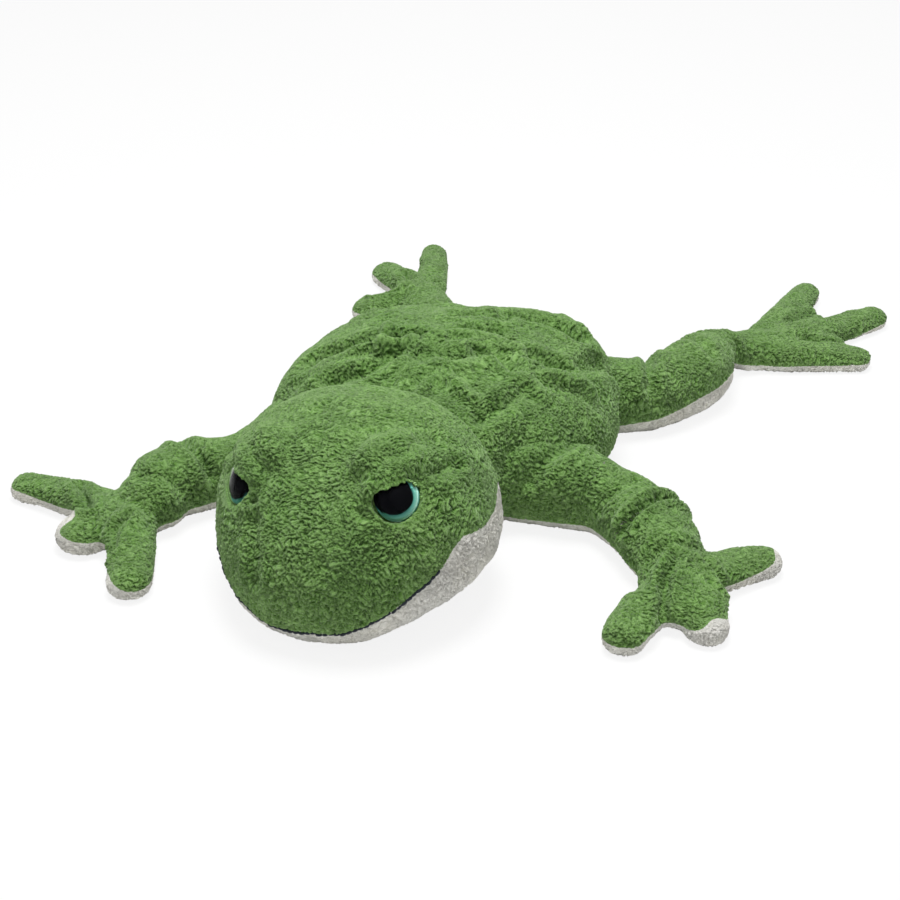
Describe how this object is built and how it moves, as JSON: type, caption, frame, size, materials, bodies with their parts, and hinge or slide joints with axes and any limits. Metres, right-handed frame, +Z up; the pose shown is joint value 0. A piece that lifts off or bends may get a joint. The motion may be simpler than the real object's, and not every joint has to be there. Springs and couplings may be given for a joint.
{
  "type": "plush frog",
  "caption": "Floppy plush frog lying on its belly with sprawled arms and legs, domed eyes, a stitched mouth and a pale underside.",
  "frame": {"origin": "on the floor, under the middle of the belly, on the flat that the body rests on", "axes": "+Z up, -Y towards the head, +X towards the frog's left side"},
  "size_m": [0.3649, 0.4354, 0.0884],
  "materials": {
    "iris_teal": "gloss, printed",
    "pupil_black": "gloss",
    "lens_clear": "clear gloss",
    "washer_white": "satin",
    "plush_green": "short curly pile",
    "plush_cream": "short curly pile",
    "fibre_fill": "matte, white polyester fibre",
    "thread_dark": "satin thread",
    "pellet_cloth": "matte, woven"
  },
  "bodies": {
    "torso": {"body_back": "plush_green", "body_belly": "plush_cream", "body_filling": "fibre_fill", "body_pellet_pouch": "pellet_cloth"},
    "head": {"left_eye_iris": "iris_teal", "left_eye_pupil": "pupil_black", "left_eye_lens": "lens_clear", "left_eye_washer": "washer_white", "right_eye_iris": "iris_teal", "right_eye_pupil": "pupil_black", "right_eye_lens": "lens_clear", "right_eye_washer": "washer_white", "head_top": "plush_green", "head_chin": "plush_cream", "head_filling": "fibre_fill", "mouth_thread": "thread_dark"},
    "left_upper_arm": {"left_upper_arm_top": "plush_green", "left_upper_arm_sole": "plush_cream", "left_upper_arm_filling": "fibre_fill"},
    "left_forearm": {"left_forearm_top": "plush_green", "left_forearm_sole": "plush_cream", "left_forearm_filling": "fibre_fill"},
    "left_hand": {"left_hand_top": "plush_green", "left_hand_sole": "plush_cream", "left_hand_filling": "fibre_fill"},
    "right_upper_arm": {"right_upper_arm_top": "plush_green", "right_upper_arm_sole": "plush_cream", "right_upper_arm_filling": "fibre_fill"},
    "right_forearm": {"right_forearm_top": "plush_green", "right_forearm_sole": "plush_cream", "right_forearm_filling": "fibre_fill"},
    "right_hand": {"right_hand_top": "plush_green", "right_hand_sole": "plush_cream", "right_hand_filling": "fibre_fill"},
    "left_thigh": {"left_thigh_top": "plush_green", "left_thigh_sole": "plush_cream", "left_thigh_filling": "fibre_fill"},
    "left_shin": {"left_shin_top": "plush_green", "left_shin_sole": "plush_cream", "left_shin_filling": "fibre_fill"},
    "left_foot": {"left_foot_top": "plush_green", "left_foot_sole": "plush_cream", "left_foot_filling": "fibre_fill"},
    "right_thigh": {"right_thigh_top": "plush_green", "right_thigh_sole": "plush_cream", "right_thigh_filling": "fibre_fill"},
    "right_shin": {"right_shin_top": "plush_green", "right_shin_sole": "plush_cream", "right_shin_filling": "fibre_fill"},
    "right_foot": {"right_foot_top": "plush_green", "right_foot_sole": "plush_cream", "right_foot_filling": "fibre_fill"}
  },
  "joints": [
    {"name": "head_nod", "type": "hinge", "parent": "torso", "child": "head", "pos_m": [0, -0.082, 0.04], "axis": [-0.9919, 0.0346, -0.1219], "range_deg": [0, 22]},
    {"name": "left_shoulder", "type": "hinge", "parent": "torso", "child": "left_upper_arm", "pos_m": [0.065, -0.043, 0.024], "axis": [0, 0, 1], "range_deg": [-20, 20]},
    {"name": "left_elbow", "type": "hinge", "parent": "left_upper_arm", "child": "left_forearm", "pos_m": [0.1108, -0.03243, 0.015], "axis": [0, 0, 1], "range_deg": [-25, 25]},
    {"name": "left_wrist", "type": "hinge", "parent": "left_forearm", "child": "left_hand", "pos_m": [0.13294, -0.06928, 0.0105], "axis": [-0.809, -0.5878, 0], "range_deg": [0, 35]},
    {"name": "left_hip", "type": "hinge", "parent": "torso", "child": "left_thigh", "pos_m": [0.064, 0.05, 0.024], "axis": [0, 0, 1], "range_deg": [-20, 20]},
    {"name": "left_knee", "type": "hinge", "parent": "left_thigh", "child": "left_shin", "pos_m": [0.09, 0.09503, 0.015], "axis": [0, 0, 1], "range_deg": [-25, 25]},
    {"name": "left_ankle", "type": "hinge", "parent": "left_shin", "child": "left_foot", "pos_m": [0.11227, 0.1475, 0.01], "axis": [0.766, -0.6428, 0], "range_deg": [0, 30]},
    {"name": "right_shoulder", "type": "hinge", "parent": "torso", "child": "right_upper_arm", "pos_m": [-0.065, -0.043, 0.024], "axis": [0, 0, 1], "range_deg": [-20, 8]},
    {"name": "right_elbow", "type": "hinge", "parent": "right_upper_arm", "child": "right_forearm", "pos_m": [-0.1057, -0.0665, 0.015], "axis": [0, 0, 1], "range_deg": [-25, 10]},
    {"name": "right_wrist", "type": "hinge", "parent": "right_forearm", "child": "right_hand", "pos_m": [-0.12181, -0.10637, 0.0105], "axis": [-0.9563, 0.2924, 0], "range_deg": [0, 35]},
    {"name": "right_hip", "type": "hinge", "parent": "torso", "child": "right_thigh", "pos_m": [-0.064, 0.05, 0.024], "axis": [0, 0, 1], "range_deg": [-6, 20]},
    {"name": "right_knee", "type": "hinge", "parent": "right_thigh", "child": "right_shin", "pos_m": [-0.08348, 0.09821, 0.015], "axis": [0, 0, 1], "range_deg": [-10, 25]},
    {"name": "right_ankle", "type": "hinge", "parent": "right_shin", "child": "right_foot", "pos_m": [-0.03856, 0.13331, 0.01], "axis": [0.7431, 0.6691, 0], "range_deg": [0, 30]}
  ]
}
